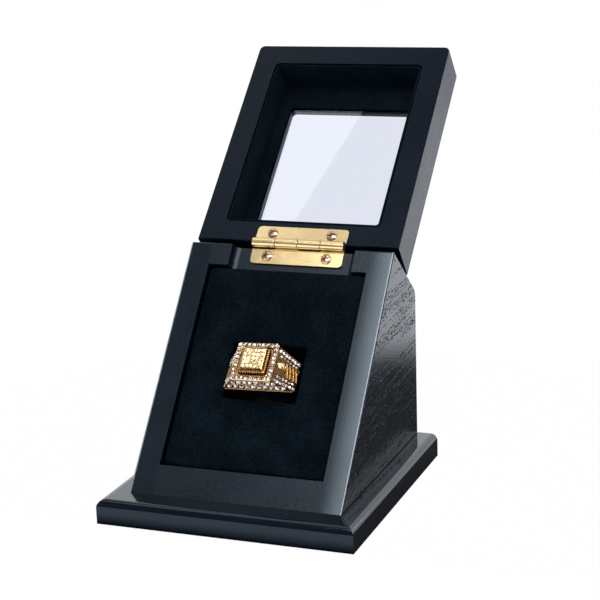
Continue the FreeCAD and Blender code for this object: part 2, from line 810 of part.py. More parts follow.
def ring_shoulder_stones():
    """Rows of round stones down both shoulders, along each edge."""
    run = SHOULDER_HALF_WIDTH - NECK_HALF_WIDTH
    fall = NECK_HEIGHT - SHOULDER_HEIGHT
    seats = []
    for side in (-1, 1):
        outward = vec(side * fall, 0, run)
        for i in range(5):
            part = 0.12 + i * 0.19
            x = side * (NECK_HALF_WIDTH + run * part)
            z = NECK_HEIGHT - fall * part
            for flank in (-1, 1):
                y = flank * (flank_half_width(z) - 0.95)
                seats.append((vec(x, y, z), outward))
    return set_stones(cut_stone(0.78, 0.4, 8, 22.5), seats)


# Output ------------------------------------------------------------------------------------------


def nodes():
    """Every sub-part by its node name."""
    parts = {
        "base_board": base_board(),
        "base_screws": base_screws(),
        "left_side_panel": side_panel(-1),
        "right_side_panel": side_panel(1),
        "front_bottom_rail": front_bottom_rail(),
        "hinge_rail": hinge_rail(),
        "top_panel": top_panel(),
        "back_panel": back_panel(),
        "pad_support_board": pad_support_board(),
        "velvet_pad": velvet_pad(),
        "body_hinge_leaf": body_hinge_leaf(),
        "body_leaf_screws": body_leaf_screws(),
        "hinge_pin": hinge_pin(),
        "lid_hinge_leaf": lid_hinge_leaf(),
        "lid_leaf_screws": lid_leaf_screws(),
        "lid_liner_mat": lid_liner_mat(),
        "window_glass": window_glass(),
        "lid_window_panel": lid_window_panel(),
        "ring_band": ring_band(),
        "ring_head": ring_head(),
        "ring_crown": ring_crown(),
        "ring_halo_stones": ring_halo_stones(),
        "ring_centre_stones": ring_centre_stones(),
        "ring_gallery_stones": ring_gallery_stones(),
        "ring_shoulder_stones": ring_shoulder_stones(),
    }
    parts.update(lid_frame_pieces())
    parts.update(lid_liner_pieces())
    return parts


def report_joint():
    """Print what the record states about the hinge."""
    pin = FACE_FRAME.multVec(PIN_ON_FACE)
    print("hinge axis at", [round(value / 1000, 6) for value in pin])
    print("closed at", 180 + LID_LEAN_BACK, "degrees; end reach", round(end_reach(), 3))


def main():
    os.makedirs("parts", exist_ok=True)
    for name, shape in nodes().items():
        if not shape.isValid() or not shape.Solids:
            raise RuntimeError(name + " is not a valid solid")
        shape.exportStep(os.path.join("parts", name + ".step"))
        print(name, len(shape.Solids), round(shape.Volume, 1))
    report_joint()


main()
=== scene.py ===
"""Looks for the slant-front ring display case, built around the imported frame.

Metres, in the row frame.  Pieces are drawn in millimetres in three working frames, as in the CAD:
  FACE_FRAME  x, y up the sloping front from its bottom edge, z out of the front
  LID_FRAME   x, y along the lid from its hinge end, z out of the lid's inner face
  RING_FRAME  x, y along the finger axis, z out through the ring's head
"""

import math

import bmesh
import bpy
from mathutils import Matrix, Vector


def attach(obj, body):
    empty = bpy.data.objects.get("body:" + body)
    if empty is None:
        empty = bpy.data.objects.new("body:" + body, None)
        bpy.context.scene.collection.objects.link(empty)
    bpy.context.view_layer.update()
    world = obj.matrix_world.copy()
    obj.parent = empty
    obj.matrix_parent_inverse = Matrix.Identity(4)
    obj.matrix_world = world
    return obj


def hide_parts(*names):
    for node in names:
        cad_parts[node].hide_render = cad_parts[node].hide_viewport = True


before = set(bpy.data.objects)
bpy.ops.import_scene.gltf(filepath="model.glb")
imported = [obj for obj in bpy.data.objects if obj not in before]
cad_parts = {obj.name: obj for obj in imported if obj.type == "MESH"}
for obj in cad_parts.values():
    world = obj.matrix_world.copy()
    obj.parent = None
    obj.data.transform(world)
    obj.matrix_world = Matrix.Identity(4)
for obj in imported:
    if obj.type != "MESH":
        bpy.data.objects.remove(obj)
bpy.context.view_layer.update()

MM = 0.001

# Camera -------------------------------------------------------------------------------------------

CAMERA_PLACE = Vector((0.2071, -0.5038, 0.2086))
CAMERA_YAW = 21.226
CAMERA_PITCH = 14.592
CAMERA_ROLL = -1.895
CAMERA_LENS = 100.45
CAMERA_SENSOR = 36.0


def make_camera():
    yaw, pitch, roll = (math.radians(a) for a in (CAMERA_YAW, CAMERA_PITCH, CAMERA_ROLL))
    ahead = Vector((-math.sin(yaw) * math.cos(pitch), math.cos(yaw) * math.cos(pitch), -math.sin(pitch)))
    level = Vector((math.cos(yaw), math.sin(yaw), 0))
    down = ahead.cross(level)
    right = level * math.cos(roll) - down * math.sin(roll)
    down = level * math.sin(roll) + down * math.cos(roll)
    data = bpy.data.cameras.new("camera")
    data.lens = CAMERA_LENS
    data.sensor_width = CAMERA_SENSOR
    data.clip_start = 0.01
    data.clip_end = 20.0
    camera = bpy.data.objects.new("camera", data)
    bpy.context.scene.collection.objects.link(camera)
    turn = Matrix((right, -down, -ahead)).transposed().to_4x4()
    camera.matrix_world = Matrix.Translation(CAMERA_PLACE) @ turn
    bpy.context.scene.camera = camera


# Materials ----------------------------------------------------------------------------------------


class Paint:
    """A node material with a Principled shader, and short ways to add nodes to it."""

    def __init__(self, name):
        self.material = bpy.data.materials.new(name)
        self.material.use_nodes = True
        self.tree = self.material.node_tree
        self.shader = next(n for n in self.tree.nodes if n.type == "BSDF_PRINCIPLED")
        self.output = next(n for n in self.tree.nodes if n.type == "OUTPUT_MATERIAL")

    def add(self, kind, settings=None, **inputs):
        node = self.tree.nodes.new(kind)
        for key, value in (settings or {}).items():
            setattr(node, key, value)
        for key, value in inputs.items():
            self.feed(node, key.replace("_", " "), value)
        return node

    def feed(self, node, key, value):
        """Links or sets an input, found by its name, or by its number as in i0."""
        socket = node.inputs[int(key[1:])] if key[0] == "i" and key[1:].isdigit() else node.inputs[key]
        if isinstance(value, bpy.types.NodeSocket):
            self.tree.links.new(value, socket)
        else:
            socket.default_value = value

    def set(self, **inputs):
        for key, value in inputs.items():
            self.feed(self.shader, key.replace("_", " "), value)

    def place(self, turn=(0, 0, 0), scale=(1, 1, 1)):
        """Object coordinates, turned so that the grain runs along X, then scaled."""
        coords = self.add("ShaderNodeTexCoord").outputs["Object"]
        turned = self.add("ShaderNodeMapping", {"vector_type": "TEXTURE"}, Vector=coords, Rotation=turn)
        return self.add("ShaderNodeMapping", None, Vector=turned.outputs[0], Scale=scale).outputs[0]

    def split(self, vector):
        return self.add("ShaderNodeSeparateXYZ", None, i0=vector).outputs

    def noise(self, vector, scale, detail=2.0, rough=0.5):
        inputs = {"Vector": vector, "Scale": scale, "Detail": detail, "Roughness": rough}
        return self.add("ShaderNodeTexNoise", None, **inputs).outputs["Fac"]

    def ramp(self, value, low, high, out_low=0.0, out_high=1.0):
        """A straight ramp from out_low at low to out_high at high, held beyond them."""
        node = self.add("ShaderNodeMapRange", None, Value=value)
        for key, number in (("From Min", low), ("From Max", high), ("To Min", out_low), ("To Max", out_high)):
            node.inputs[key].default_value = number
        return node.outputs["Result"]

    def math(self, operation, a, b=0.0):
        return self.add("ShaderNodeMath", {"operation": operation}, i0=a, i1=b).outputs[0]

    def total(self, first, *others):
        for other in others:
            first = self.math("ADD", first, other)
        return first

    def product(self, first, *others):
        for other in others:
            first = self.math("MULTIPLY", first, other)
        return first

    def rest_of(self, share):
        return self.math("SUBTRACT", 1.0, share)

    def mix(self, share, a, b):
        """A colour going from a to b."""
        node = self.add("ShaderNodeMix", {"data_type": "RGBA"}, i0=share)
        self.feed(node, "i6", a)
        self.feed(node, "i7", b)
        return node.outputs[2]

    def between(self, share, a, b):
        """A number going from a to b."""
        return self.add("ShaderNodeMix", None, i0=share, i2=a, i3=b).outputs[0]

    def nearness(self, distance, samples):
        """Ambient occlusion: 1 in the open, falling to 0 in a crevice."""
        node = self.add("ShaderNodeAmbientOcclusion", {"samples": samples}, Distance=distance)
        return node.outputs["AO"]

    def bump(self, height, distance, strength=1.0, normal=None):
        node = self.add("ShaderNodeBump", None, Height=height, Distance=distance, Strength=strength)
        if normal is not None:
            self.feed(node, "Normal", normal)
        return node.outputs[0]


def rgb(r, g, b):
    return (r, g, b, 1.0)


GRAIN_ROWS = (26, 620, 620)
PORE_DASHES = (740, 3800, 3800)
PEEL_SCALE = (700, 1700, 1700)
# Front edges of the side panels, by distance from the middle plane
CURVE_FROM = 0.0290
CURVATURE = 10.0
SHEEN_SPAN = (0.0305, 0.0372)
# Painted highlight: a light grey line along the side panels' front corner
HIGHLIGHT_SPAN = (0.0368, 0.0371)
FACE_ROUGHNESS = 0.30
FACE_GLOSS = 0.48
EDGE_GLOSS = 1.0


def black_wood(name, turn, roughness, peel, pores=0.0, gloss=0.5, eased=False):
    """Satin black paint over open-pored wood: rows of short dashes along the grain, and a fine peel.

    eased is for the side panels: their front edges have no pores, curve slightly towards the corner and get
    glossier there; a painted highlight, a light grey line, runs along the corner.
    """
    p = Paint(name)
    rows = p.ramp(p.noise(p.place(turn, GRAIN_ROWS), 1.0, 1.0), 0.46, 0.56)
    dashes = p.ramp(p.noise(p.place(turn, PORE_DASHES), 1.0, 0.0), 0.54, 0.60)
    pore = p.product(dashes, rows, pores)
    speck = p.noise(p.place(turn, PEEL_SCALE), 1.0, 2.0)
    cloud = p.noise(p.place(turn), 45.0, 2.0)
    painted_edge_highlight = 0.0
    if eased:
        across = p.math("ABSOLUTE", p.split(p.place())["X"])
        facing = p.split(p.add("ShaderNodeTexCoord").outputs["Normal"])["X"]
        flank = p.ramp(p.math("ABSOLUTE", facing), 0.5, 0.7)
        pore = p.product(pore, flank)
        # Painted highlight: light grey base colour in a thin line at the corner, patchy with the peel
        painted_edge_highlight = p.product(p.ramp(across, *HIGHLIGHT_SPAN), p.ramp(speck, 0.25, 0.5, 0.5, 1.0), p.rest_of(flank))
        roughness = p.between(flank, FACE_ROUGHNESS, roughness)
        gloss = p.between(flank, p.ramp(across, *SHEEN_SPAN, FACE_GLOSS, EDGE_GLOSS), gloss)
    tone = p.mix(cloud, rgb(0.0008, 0.0026, 0.0072), rgb(0.0020, 0.0046, 0.0112))
    painted = p.mix(pore, tone, rgb(0.0006, 0.0009, 0.0014))
    p.set(Base_Color=p.mix(painted_edge_highlight, painted, rgb(0.34, 0.38, 0.42)), IOR=1.42)
    uneven = p.total(p.ramp(cloud, 0.3, 0.7, -0.03, 0.03), p.ramp(speck, 0.3, 0.7, -0.03, 0.04))
    p.set(Roughness=p.total(uneven, roughness, p.product(pore, 0.3)))
    p.set(Specular_IOR_Level=p.product(p.rest_of(p.product(pore, 0.95)), gloss))
    p.set(Specular_Tint=rgb(0.74, 0.90, 1.0))
    sunk = p.bump(p.math("SUBTRACT", 0.0, pore), 0.00015, 0.7)
    normal = p.bump(speck, 0.00006, peel, sunk)
    if eased:
        lean = p.math("MAXIMUM", p.math("SUBTRACT", across, CURVE_FROM), 0.0)
        normal = p.bump(p.product(lean, lean, -CURVATURE), 1.0, 1.0, normal)
    p.set(Normal=normal)
    return p.material


def raw_board():
    p = Paint("raw_board")
    fibre = p.noise(p.place((0, 0, 0), (300, 900, 900)), 1.0, 4.0)
    p.set(Base_Color=p.mix(fibre, rgb(0.30, 0.20, 0.12), rgb(0.42, 0.30, 0.19)), Roughness=0.85)
    p.set(Normal=p.bump(fibre, 0.0002))
    return p.material


def velvet(name, dark, light, sheen, pile):
    """Short pile that is nearly black face on and catches light at a slant, brushed in patches."""
    p = Paint(name)
    fibre = p.noise(p.place(), 1500.0, 4.0, 0.8)
    patch = p.noise(p.place((0, 0, 0.4), (1, 0.6, 1)), 75.0, 3.0, 0.6)
    shade = p.total(p.product(fibre, 0.75), p.product(patch, 0.35))
    p.set(Base_Color=p.mix(p.ramp(shade, 0.47, 0.66), dark, light), Roughness=0.95)
    p.set(Specular_IOR_Level=0.10, Specular_Tint=rgb(0.3, 0.75, 1.0))
    p.set(Sheen_Weight=sheen, Sheen_Roughness=0.38, Sheen_Tint=rgb(0.22, 0.55, 0.75))
    p.set(Normal=p.bump(fibre, 0.00022, pile, p.bump(patch, 0.0006, 0.25)))
    return p.material


def metal(name, colour, dark, roughness, brushed, crevice=0.0, tarnish=0.35):
    """Polished plate with fine lines along X and stains; the dark colour is also laid into crevices up to
    crevice metres wide as painted shade.
    """
    p = Paint(name)
    lines = p.noise(p.place((0, 0, 0), (120, 5200, 5200)), 1.0, 3.0, 0.6)
    stain = p.noise(p.place(), 210.0, 4.0, 0.6)
    tone = p.mix(p.ramp(stain, 0.35, 0.75, 0.0, tarnish), colour, dark)
    # Painted shade: the dark colour laid into crevices found by occlusion
    if crevice:
        tone = p.mix(p.ramp(p.nearness(crevice, 6), 0.15, 0.75), dark, tone)
    rough = p.ramp(stain, 0.3, 0.7, roughness * 0.9, roughness * 1.12)
    rough = p.total(rough, p.product(p.ramp(lines, 0.3, 0.7), brushed * 0.12))
    p.set(Base_Color=tone, Metallic=1.0, Roughness=rough)
    relief = p.total(p.product(lines, brushed), p.product(stain, tarnish))
    p.set(Normal=p.bump(relief, 0.00003, 0.6))
    return p.material


def stone(name, colour, deep, glow):
    """Crystal with painted glints: glowing white patches at random over a darker colour, held back in
    crevices as painted shade.
    """
    p = Paint(name)
    inside = p.noise(p.place(), 1500.0, 1.0, 0.5)
    # Painted glints, taken out of crevices as painted shade
    painted_glint = p.product(p.ramp(inside, 0.44, 0.60), p.ramp(p.nearness(0.0009, 4), 0.25, 0.8))
    p.set(Base_Color=p.mix(painted_glint, deep, colour), Metallic=0.6, Roughness=0.06, IOR=2.2)
    p.set(Coat_Weight=0.6, Coat_Roughness=0.02, Coat_IOR=1.7)
    # The painted glints glow, though the stones are no lamp
    p.set(Emission_Color=colour, Emission_Strength=p.product(painted_glint, glow))
    return p.material


def clear_glass():
    p = Paint("glass")
    smear = p.noise(p.place(), 60.0, 3.0)
    p.set(Base_Color=rgb(0.77, 0.80, 0.90), Transmission_Weight=1.0, IOR=1.45)
    p.set(Roughness=p.ramp(smear, 0.3, 0.8, 0.0, 0.012), Specular_IOR_Level=0.5)
    return p.material


GRAIN_ALONG_X = (0, 0, 0)
GRAIN_ON_SIDES = (0, math.radians(-4), math.radians(90))
GRAIN_UP_LID = (math.radians(42.7), 0, math.radians(90))
WOOD_ACROSS = black_wood("wood_across", GRAIN_ALONG_X, 0.30, 1.0)
WOOD_SIDES = black_wood("wood_sides", GRAIN_ON_SIDES, 0.17, 0.55, pores=1.0, gloss=0.44, eased=True)
WOOD_BASE = black_wood("wood_base", GRAIN_ALONG_X, 0.09, 0.2)
WOOD_LID_UP = black_wood("wood_lid_up", GRAIN_UP_LID, 0.30, 0.8, gloss=0.20)
WOOD_LID_ACROSS = black_wood("wood_lid_across", GRAIN_ALONG_X, 0.30, 0.8, gloss=0.20)
# crevice is the reach of painted shade: round the screws, under the hinge barrels, in cross recesses and the
# ring's hollows
BRASS = metal("brass", rgb(0.88, 0.68, 0.36), rgb(0.24, 0.11, 0.03), 0.24, 0.05, 0.0022, 0.03)
SCREW_BRASS = metal("screw_brass", rgb(0.82, 0.60, 0.42), rgb(0.10, 0.04, 0.02), 0.24, 0.1, 0.0016)
STEEL = metal("steel", rgb(0.62, 0.62, 0.64), rgb(0.35, 0.35, 0.36), 0.28, 0.2)
GOLD = metal("gold", rgb(1.0, 0.70, 0.34), rgb(0.15, 0.055, 0.015), 0.16, 0.1, 0.0014)
# Painted shade: the band's gold is a much darker copy of the gold, with shade reaching 14 mm, as the band
# lies in shadow under the head
BAND_SHADED_GOLD = metal("band_shaded_gold", rgb(0.34, 0.20, 0.08), rgb(0.02, 0.008, 0.003), 0.22, 0.1, 0.014)
# Painted shade: a darker copy of the gold, for the shoulder lattice, the crown's ribs and the flank rails
SHADED_GOLD = metal("shaded_gold", rgb(0.62, 0.34, 0.11), rgb(0.06, 0.02, 0.006), 0.32, 0.1, 0.0012)
# Painted shade: a very dark copy of the gold, for the ground between the crown's ribs
DEEP_SHADE_GOLD = metal("deep_shade_gold", rgb(0.20, 0.09, 0.025), rgb(0.05, 0.018, 0.005), 0.35, 0.1, 0.0012)
WHITE_STONE = stone("white_stone", rgb(0.98, 0.93, 0.93), rgb(0.26, 0.15, 0.11), 0.55)
YELLOW_STONE = stone("yellow_stone", rgb(1.0, 0.92, 0.62), rgb(0.88, 0.62, 0.24), 0.85)
VELVET = velvet("velvet", rgb(0.0002, 0.0008, 0.0018), rgb(0.0052, 0.0092, 0.0140), 0.008, 2.0)
LINER = velvet("liner", rgb(0.0008, 0.0018, 0.0030), rgb(0.0040, 0.0068, 0.0098), 0.03, 0.6)
NODE_PAINTS = {
    "base_board": WOOD_BASE,
    "base_screws": STEEL,
    "left_side_panel": WOOD_SIDES,
    "right_side_panel": WOOD_SIDES,
    "front_bottom_rail": WOOD_ACROSS,
    "hinge_rail": WOOD_ACROSS,
    "top_panel": WOOD_ACROSS,
    "back_panel": WOOD_ACROSS,
    "pad_support_board": raw_board(),
    "velvet_pad": VELVET,
    "body_hinge_leaf": BRASS,
    "body_leaf_screws": SCREW_BRASS,
    "hinge_pin": BRASS,
    "lid_hinge_leaf": BRASS,
    "lid_leaf_screws": SCREW_BRASS,
    "lid_left_stile": WOOD_LID_UP,
    "lid_right_stile": WOOD_LID_UP,
    "lid_hinge_rail": WOOD_LID_ACROSS,
    "lid_top_rail": WOOD_LID_ACROSS,
    "lid_window_panel": WOOD_LID_UP,
    "window_glass": clear_glass(),
    "ring_band": BAND_SHADED_GOLD,
    "ring_head": GOLD,
    "ring_crown": GOLD,
    "ring_halo_stones": WHITE_STONE,
    "ring_centre_stones": YELLOW_STONE,
    "ring_gallery_stones": WHITE_STONE,
    "ring_shoulder_stones": WHITE_STONE,
}


def paint_nodes():
    for name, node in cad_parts.items():
        node.data.materials.clear()
        node.data.materials.append(NODE_PAINTS.get(name, LINER))


# Frames and mesh helpers --------------------------------------------------------------------------


def tilted(y, z, slope):
    """A working frame in millimetres: turned about X by slope degrees, with its origin at (0, y, z)."""
    return Matrix.Translation((0, y * MM, z * MM)) @ Matrix.Rotation(math.radians(slope), 4, "X")


FACE_SLOPE = 50.7
RING_TIP = 9.5
RING_TURN = 2.0
MILLIMETRES = Matrix.Scale(MM, 4)
FACE_FRAME = tilted(-36.8, 8.2, FACE_SLOPE) @ MILLIMETRES
LID_FRAME = tilted(27.415, 80.773, 42.7) @ MILLIMETRES
RING_CENTRE = FACE_FRAME @ Vector((0, 43.2, -11.3))
RING_FRAME = (
    Matrix.Translation(RING_CENTRE)
    @ Matrix.Rotation(math.radians(FACE_SLOPE - RING_TIP), 4, "X")
    @ Matrix.Rotation(math.radians(RING_TURN), 4, "Z")
    @ MILLIMETRES
)


def make_piece(name, bm, place, paint, body, replaces=(), smooth_angle=None):
    """Turns a bmesh in a working frame into a piece that rides on a body."""
    bmesh.ops.recalc_face_normals(bm, faces=bm.faces)
    bm.transform(place)
    mesh = bpy.data.meshes.new(name)
    bm.to_mesh(mesh)
    bm.free()
    mesh.materials.append(paint)
    piece = bpy.data.objects.new(name, mesh)
    bpy.context.scene.collection.objects.link(piece)
    if smooth_angle is not None:
        mesh.shade_smooth()
        mesh.set_sharp_from_angle(angle=math.radians(smooth_angle))
    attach(piece, body)
    if replaces:
        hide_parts(*replaces)
    return piece


def rounded_loop(x0, x1, y0, y1, radius, z, corner_steps=6, side_steps=1, wave=None):
    """Points round a rectangle with rounded corners; wave(t, side) pushes a side's points outwards."""
    points = []
    corners = (
        ((x1 - radius, y0 + radius), -90),
        ((x1 - radius, y1 - radius), 0),
        ((x0 + radius, y1 - radius), 90),
        ((x0 + radius, y0 + radius), 180),
    )
    for i, ((cx, cy), start) in enumerate(corners):
        arc = []
        for k in range(corner_steps + 1):
            angle = math.radians(start + 90.0 * k / corner_steps)
            arc.append(Vector((cx + radius * math.cos(angle), cy + radius * math.sin(angle), z)))
        points += arc
        (nx, ny), nstart = corners[(i + 1) % 4]
        angle = math.radians(nstart)
        target = Vector((nx + radius * math.cos(angle), ny + radius * math.sin(angle), z))
        out = Vector((math.cos(angle), math.sin(angle), 0))
        for k in range(1, side_steps):
            t = k / side_steps
            push = wave(t, i) if wave else 0.0
            points.append(arc[-1].lerp(target, t) + out * push)
    return points


def around(count, radius, z=0.0, start=0.0, stretch=1.0):
    """Evenly spaced points round Z, the first at start degrees; stretch lengthens the circle along Y."""
    points = []
    for k in range(count):
        angle = math.radians(start + 360.0 * k / count)
        points.append(Vector((radius * math.cos(angle), radius * stretch * math.sin(angle), z)))
    return points


def square_loop(half, radius, z, **more):
    return rounded_loop(-half, half, -half, half, radius, z, **more)


def loft(bm, loops, close_ring=False, cap_first=False, cap_last=False):
    """Joins loops of equal length with quads; close_ring joins the last loop to the first."""
    rows = [[bm.verts.new(p) for p in loop] for loop in loops]
    pairs = list(zip(rows, rows[1:]))
    if close_ring:
        pairs.append((rows[-1], rows[0]))
    for a, b in pairs:
        for i in range(len(a)):
            j = (i + 1) % len(a)
            bm.faces.new((a[i], a[j], b[j], b[i]))
    if cap_first:
        bm.faces.new(list(reversed(rows[0])))
    if cap_last:
        bm.faces.new(rows[-1])


def moved(place, loops):
    return [[place @ point for point in loop] for loop in loops]


def seat(position, outward, spin=0.0, along=Vector((0, 1, 0))):
    """A frame with Z outward and Y as near as can be to along."""
    z = Vector(outward).normalized()
    y = (along - z * along.dot(z)).normalized()
    x = y.cross(z)
    turn = Matrix((x, y, z)).transposed().to_4x4()
    return Matrix.Translation(position) @ turn @ Matrix.Rotation(math.radians(spin), 4, "Z")


def add_brilliant(bm, place, radius, height, stretch=1.0):
    """A round stone's crown: a table, eight stars and kites, and a girdle, over a low pavilion."""
    rings = (
        around(8, radius * 0.52, height, 0, stretch),
        around(8, radius * 0.80, height * 0.62, 22.5, stretch),
        around(16, radius, height * 0.12, 0, stretch),
    )
    table, stars, girdle = [[bm.verts.new(point) for point in ring] for ring in moved(place, rings)]
    bm.faces.new(table)
    for i in range(8):
        j = (i + 1) % 8
        g = 2 * i
        bm.faces.new((table[i], stars[i], table[j]))
        bm.faces.new((stars[i], table[i], girdle[g]))
        bm.faces.new((stars[i], girdle[g], girdle[g + 1]))
        bm.faces.new((stars[i], girdle[g + 1], girdle[(g + 2) % 16]))
        bm.faces.new((stars[i], girdle[(g + 2) % 16], table[j]))
    foot = bm.verts.new(place @ Vector((0, 0, -height * 0.7)))
    for i in range(16):
        bm.faces.new((girdle[(i + 1) % 16], girdle[i], foot))


def add_princess(bm, place, half, height):
    """A square stone with a small table and two steps of facets."""
    levels = ((half, height * 0.1), (half * 0.82, height * 0.62), (half * 0.45, height))
    squares = moved(place, [around(4, size * 1.414, z, 45) for size, z in levels])
    rows = [[bm.verts.new(corner) for corner in square] for square in squares]
    for a, b in zip(rows, rows[1:]):
        for i in range(4):
            j = (i + 1) % 4
            bm.faces.new((a[i], a[j], b[j]))
            bm.faces.new((a[i], b[j], b[i]))
    bm.faces.new(rows[-1])
    foot = bm.verts.new(place @ Vector((0, 0, -height * 0.5)))
    for i in range(4):
        bm.faces.new((rows[0][(i + 1) % 4], rows[0][i], foot))


def add_bead(bm, place, radius, tall=1.0):
    """A rounded prong: a seven-sided dome, its foot sunk into the surface."""
    levels = ((-0.4, 1.0), (0.25, 0.95), (0.65, 0.72), (0.92, 0.38))
    rings = [around(7, radius * size, radius * tall * lift) for lift, size in levels]
    loft(bm, moved(place, rings), cap_first=True, cap_last=True)


def add_bar(bm, points, outward, width, height):
    """A raised bar with a rounded back along a run of points; its base sinks into the surface."""
    section = ((-0.5, -0.4), (-0.5, 0.45), (-0.3, 0.85), (0.0, 1.0), (0.3, 0.85), (0.5, 0.45), (0.5, -0.4))
    loops = []
    for i, point in enumerate(points):
        before, after = points[max(i - 1, 0)], points[min(i + 1, len(points) - 1)]
        run = (after - before).normalized()
        out = (outward - run * outward.dot(run)).normalized()
        side = run.cross(out)
        loops.append([point + side * (a * width) + out * (b * height) for a, b in section])
    loft(bm, loops, cap_first=True, cap_last=True)


# Ring ---------------------------------------------------------------------------------------------

NECK_HEIGHT = 19.0
PLATE_TOP = 20.4
CROWN_TOP = 22.7
UP = Vector((0, 0, 1))


def make_head():
    """The head plate: a moulded edge, a channel for the border stones and a sunk floor."""
    bm = bmesh.new()
    profile = (
        (5.2, 18.9, 0.6), (6.7, 19.0, 0.9), (7.0, 19.1, 1.0), (7.05, 19.35, 1.0), (7.3, 19.5, 1.1),
        (7.4, 19.7, 1.1), (7.4, 20.0, 1.1), (7.32, 20.25, 1.1), (7.2, 20.36, 1.0), (7.1, 20.3, 1.0),
        (7.05, 20.1, 1.0), (5.85, 20.1, 0.5), (5.78, 20.45, 0.5), (5.68, 20.52, 0.45), (5.55, 20.45, 0.4),
        (5.48, 19.75, 0.4), (4.5, 19.7, 0.3),
    )
    loops = [square_loop(half, radius, z, corner_steps=5) for half, z, radius in profile]
    loft(bm, loops, cap_first=True, cap_last=True)
    make_piece("ring_head_plate", bm, RING_FRAME, GOLD, "case", ["ring_head"], 32)


def make_crown():
    """The raised centre: a ledge, fluted walls and a rimmed tray for the centre stones."""
    ribs = 10

    def flute(depth):
        return lambda t, side: depth * abs(math.sin(math.pi * ribs * t)) - depth

    bm = bmesh.new()
    profile = (
        (4.6, 19.6, 0.4, 0.0), (4.6, 20.75, 0.4, 0.0), (4.5, 20.95, 0.4, 0.0), (4.14, 21.0, 0.3, 0.0),
        (4.1, 21.1, 0.3, 0.32), (4.1, 22.2, 0.3, 0.32), (4.12, 22.3, 0.3, 0.0), (4.15, 22.5, 0.35, 0.0),
        (4.08, 22.66, 0.35, 0.0), (3.92, 22.7, 0.3, 0.0), (3.8, 22.62, 0.25, 0.0), (3.74, 22.3, 0.2, 0.0),
    )
    loops = []
    for half, z, radius, depth in profile:
        loops.append(square_loop(half, radius, z, corner_steps=4, side_steps=ribs * 6, wave=flute(depth)))
    loft(bm, loops, cap_first=True, cap_last=True)
    make_piece("ring_crown_block", bm, RING_FRAME, GOLD, "case", ["ring_crown"], 38)
    # The ground between the ribs is a dark sheet of painted shade
    ground = bmesh.new()
    slope = ((4.05, 21.7, 0.3), (4.3, 21.0, 0.3), (4.8, 19.95, 0.3), (4.2, 19.9, 0.3))
    loft(ground, [square_loop(half, radius, z, corner_steps=4) for half, z, radius in slope], close_ring=True)
    make_piece("ring_crown_skirt", ground, RING_FRAME, DEEP_SHADE_GOLD, "case", (), 40)
    skirt = bmesh.new()
    fall = ((4.1, 21.6), (4.34, 21.0), (4.58, 20.45), (4.86, 19.9))
    for quarter in range(4):
        turn = Matrix.Rotation(math.radians(90 * quarter), 3, "Z")
        for rib in range(ribs):
            across = (rib - (ribs - 1) / 2) * 8.4 / ribs
            run = [turn @ Vector((x, across, z)) for x, z in fall]
            add_bar(skirt, run, turn @ Vector((0.8, 0, 0.5)), 0.36, 0.26)
    make_piece("ring_crown_ribs", skirt, RING_FRAME, SHADED_GOLD, "case", (), 40)


CENTRE_PITCH = 1.5


def make_centre_stones():
    stones = bmesh.new()
    beads = bmesh.new()
    for column in range(5):
        for row in range(5):
            spot = Vector(((column - 2) * CENTRE_PITCH, (row - 2) * CENTRE_PITCH, CROWN_TOP - 0.38))
            lean_x = 0.05 * ((column * 7 + row * 3) % 5 - 2)
            lean_y = 0.05 * ((column * 3 + row * 5) % 5 - 2)
            lean = Vector((lean_x, lean_y, 1))
            add_princess(stones, seat(spot, lean), 0.69, 0.36)
    for column in range(6):
        for row in range(6):
            spot = Vector(((column - 2.5) * CENTRE_PITCH, (row - 2.5) * CENTRE_PITCH, CROWN_TOP - 0.36))
            add_bead(beads, seat(spot, UP), 0.2, 1.5)
    make_piece("ring_centre_cut_stones", stones, RING_FRAME, YELLOW_STONE, "case",
               ["ring_centre_stones"])
    make_piece("ring_centre_beads", beads, RING_FRAME, GOLD, "case", (), 40)


def make_halo():
    """Border stones round the head plate, each held by four shared beads."""
    stones = bmesh.new()
    beads = bmesh.new()
    edge = 6.45
    per_side = 8
    pitch = 2 * edge / per_side
    for i in range(per_side):
        step = -edge + i * pitch
        for k, (x, y) in enumerate(((step, -edge), (edge, step), (-step, edge), (-edge, -step))):
            lean = Vector((0.07 * ((i * 5 + k) % 5 - 2), 0.07 * ((i * 3 + k * 2) % 5 - 2), 1))
            place = seat(Vector((x, y, PLATE_TOP - 0.22)), lean, 17 * i)
            add_brilliant(stones, place, 0.70, 0.46)
        middle = step + pitch / 2
        for off in (edge - 0.58, edge + 0.55):
            for x, y in ((middle, -off), (off, middle), (-middle, off), (-off, -middle)):
                add_bead(beads, seat(Vector((x, y, PLATE_TOP - 0.14)), UP), 0.2, 1.6)
    make_piece("ring_halo_cut_stones", stones, RING_FRAME, WHITE_STONE, "case",
               ["ring_halo_stones"])
    make_piece("ring_halo_beads", beads, RING_FRAME, GOLD, "case", (), 40)


FLANK_TOP = (6.7, 19.0)
FLANK_BOTTOM = (5.3, 10.6)


def flank_point(side, x, share):
    """A point on the front (-1) or back (1) flank, share of the way down."""
    y = FLANK_TOP[0] + (FLANK_BOTTOM[0] - FLANK_TOP[0]) * share
    z = FLANK_TOP[1] + (FLANK_BOTTOM[1] - FLANK_TOP[1]) * share
    return Vector((x, side * y, z))


def flank_normal(side):
    return Vector((0, side * 8.4, -1.4)).normalized()


def flank_reach(share):
    """Half the flank's length along X at a share of the way down: it follows the shoulders."""
    return 7.0 + 5.6 * share


